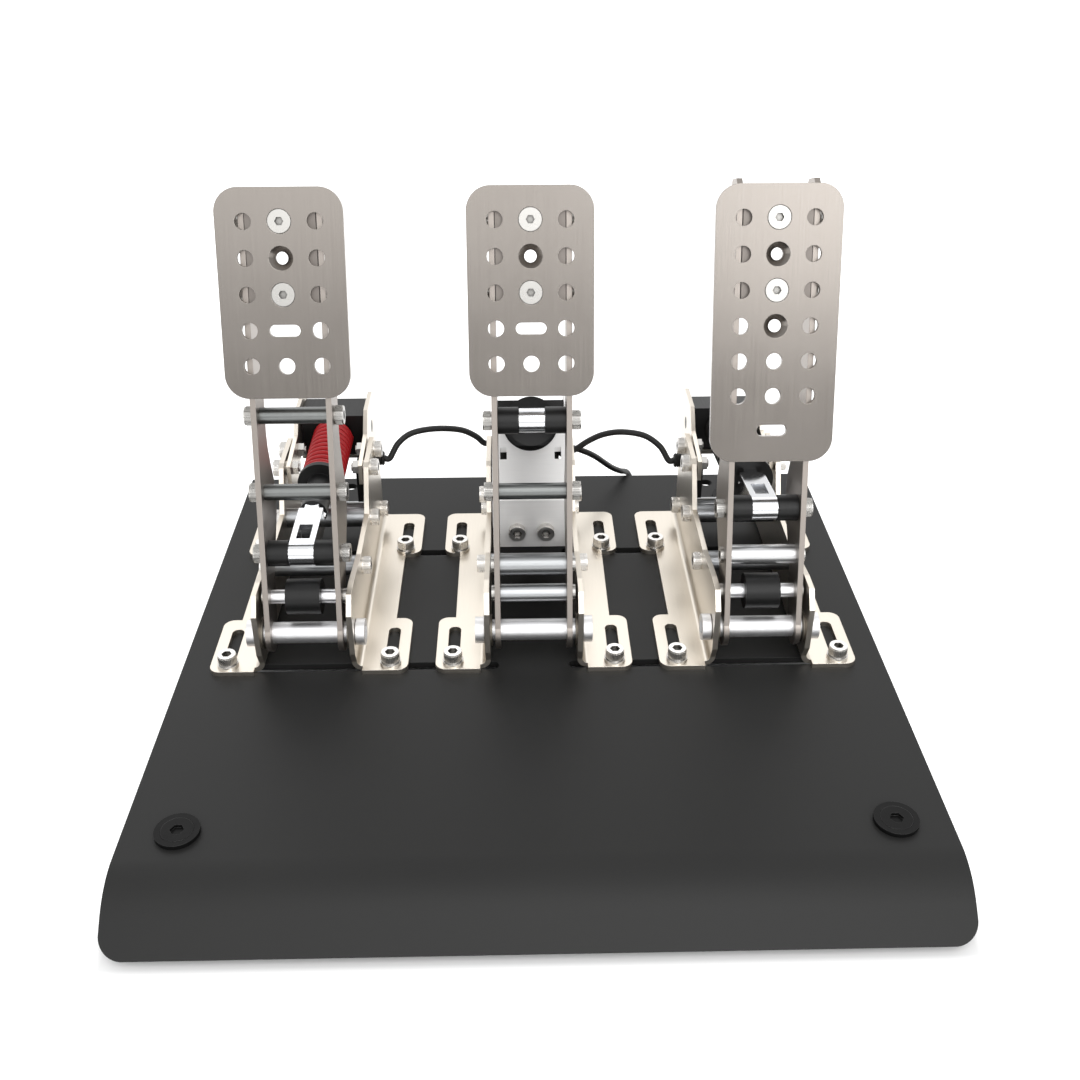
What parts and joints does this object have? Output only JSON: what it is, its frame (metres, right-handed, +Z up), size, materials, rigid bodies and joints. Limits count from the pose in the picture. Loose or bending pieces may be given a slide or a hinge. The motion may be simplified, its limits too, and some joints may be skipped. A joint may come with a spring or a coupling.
{
  "type": "sim racing pedal set",
  "caption": "Sim racing pedal set: clutch, brake and throttle pedals with open spring linkages between sheet cheeks on one bent base plate.",
  "frame": {"origin": "on the floor, under the middle of the base plate", "axes": "+X to the right, clutch to throttle; +Y away from the driver; +Z up"},
  "size_m": [0.4, 0.415, 0.283],
  "materials": {
    "plate_black": "fine matt powder coat",
    "bolt_black": "black oxide",
    "frame_steel": "satin nickel plate",
    "arm_steel": "satin, cut edges",
    "face_steel": "vertical brushed grain",
    "turned_steel": "turned",
    "screw_steel": "bright zinc",
    "link_chrome": "polished",
    "cell_alloy": "milled",
    "bush_dark": "sintered",
    "plastic_black": "turned acetal",
    "rubber_black": "matt",
    "spring_red": "gloss enamel",
    "spring_black": "black enamel",
    "lead_black": "satin jacket"
  },
  "bodies": {
    "base": {"base_plate": "plate_black", "base_bolts": "bolt_black", "rubber_feet": "rubber_black", "clamp_screws": "screw_steel", "axle_bushes": "bush_dark", "cheek_bars": "turned_steel", "cheek_screws": "screw_steel", "load_cell": "cell_alloy", "position_sensors": "plastic_black", "control_box": "plastic_black", "usb_socket": "plastic_black", "lead_glands": "plastic_black", "clutch_lead": "lead_black", "throttle_lead": "lead_black", "usb_lead": "lead_black", "clutch_cheek_l": "frame_steel", "clutch_cheek_r": "frame_steel", "clutch_bracket": "frame_steel", "brake_cheek_l": "frame_steel", "brake_cheek_r": "frame_steel", "brake_bracket": "frame_steel", "throttle_cheek_l": "frame_steel", "throttle_cheek_r": "frame_steel", "throttle_bracket": "frame_steel"},
    "clutch_arm": {"clutch_arm_l": "arm_steel", "clutch_arm_r": "arm_steel", "clutch_axle": "turned_steel", "clutch_bars": "turned_steel", "clutch_sleeves": "plastic_black", "clutch_screws": "screw_steel", "clutch_face_bracket": "arm_steel", "clutch_face": "face_steel"},
    "clutch_rod": {"clutch_link": "link_chrome", "clutch_seat": "plastic_black", "clutch_spring": "spring_red"},
    "clutch_block": {"clutch_block": "plastic_black"},
    "brake_arm": {"brake_arm_l": "arm_steel", "brake_arm_r": "arm_steel", "brake_axle": "turned_steel", "brake_bars": "turned_steel", "brake_sleeves": "plastic_black", "brake_screws": "screw_steel", "brake_face_bracket": "arm_steel", "brake_face": "face_steel"},
    "brake_rod": {"brake_link": "link_chrome", "brake_seat": "plastic_black", "brake_elastomers": "rubber_black"},
    "brake_block": {"brake_block": "plastic_black"},
    "throttle_arm": {"throttle_arm_l": "arm_steel", "throttle_arm_r": "arm_steel", "throttle_axle": "turned_steel", "throttle_bars": "turned_steel", "throttle_sleeves": "plastic_black", "throttle_screws": "screw_steel", "throttle_face_bracket": "arm_steel", "throttle_face": "face_steel"},
    "throttle_rod": {"throttle_link": "link_chrome", "throttle_seat": "plastic_black", "throttle_spring": "spring_black"},
    "throttle_block": {"throttle_block": "plastic_black"}
  },
  "joints": [
    {"name": "clutch_pedal", "type": "hinge", "parent": "base", "child": "clutch_arm", "pos_m": [-0.1275, -0.015, 0.05], "axis": [-1, 0, 0], "range_deg": [0, 20], "stiffness_Nm_per_rad": 30, "springref_deg": -8.59, "deforming": ["clutch_spring"]},
    {"name": "clutch_link_pin", "type": "hinge", "parent": "clutch_arm", "child": "clutch_rod", "pos_m": [-0.1275, -0.00078, 0.09375], "axis": [1, 0, 0], "range_deg": [0, 23.4]},
    {"name": "clutch_block_pivot", "type": "hinge", "parent": "base", "child": "clutch_block", "pos_m": [-0.1275, 0.153, 0.095], "axis": [1, 0, 0], "range_deg": [0, 3.4]},
    {"name": "brake_pedal", "type": "hinge", "parent": "base", "child": "brake_arm", "pos_m": [0, -0.015, 0.05], "axis": [-1, 0, 0], "range_deg": [0, 7], "stiffness_Nm_per_rad": 120, "springref_deg": -2.86, "deforming": ["brake_elastomers"]},
    {"name": "brake_link_pin", "type": "hinge", "parent": "brake_arm", "child": "brake_rod", "pos_m": [0, 0.02162, 0.1627], "axis": [1, 0, 0], "range_deg": [0, 6.5]},
    {"name": "brake_block_pivot", "type": "hinge", "parent": "base", "child": "brake_block", "pos_m": [0, 0.112, 0.116], "axis": [1, 0, 0], "range_deg": [-1.5, 0]},
    {"name": "throttle_pedal", "type": "hinge", "parent": "base", "child": "throttle_arm", "pos_m": [0.1275, -0.015, 0.05], "axis": [-1, 0, 0], "range_deg": [0, 20], "stiffness_Nm_per_rad": 15, "springref_deg": -11.46, "deforming": ["throttle_spring"]},
    {"name": "throttle_link_pin", "type": "hinge", "parent": "throttle_arm", "child": "throttle_rod", "pos_m": [0.1275, 0.00617, 0.11515], "axis": [1, 0, 0], "range_deg": [0, 23.8]},
    {"name": "throttle_block_pivot", "type": "hinge", "parent": "base", "child": "throttle_block", "pos_m": [0.1275, 0.153, 0.095], "axis": [1, 0, 0], "range_deg": [0, 3.8]}
  ],
  "couplings": [
    {"joint": "clutch_link_pin", "follows": "clutch_pedal", "ratio": 1.145},
    {"joint": "clutch_block_pivot", "follows": "clutch_pedal", "ratio": 0.145},
    {"joint": "brake_link_pin", "follows": "brake_pedal", "ratio": 0.8525},
    {"joint": "brake_block_pivot", "follows": "brake_pedal", "ratio": -0.1475},
    {"joint": "throttle_link_pin", "follows": "throttle_pedal", "ratio": 1.1665},
    {"joint": "throttle_block_pivot", "follows": "throttle_pedal", "ratio": 0.1665}
  ]
}
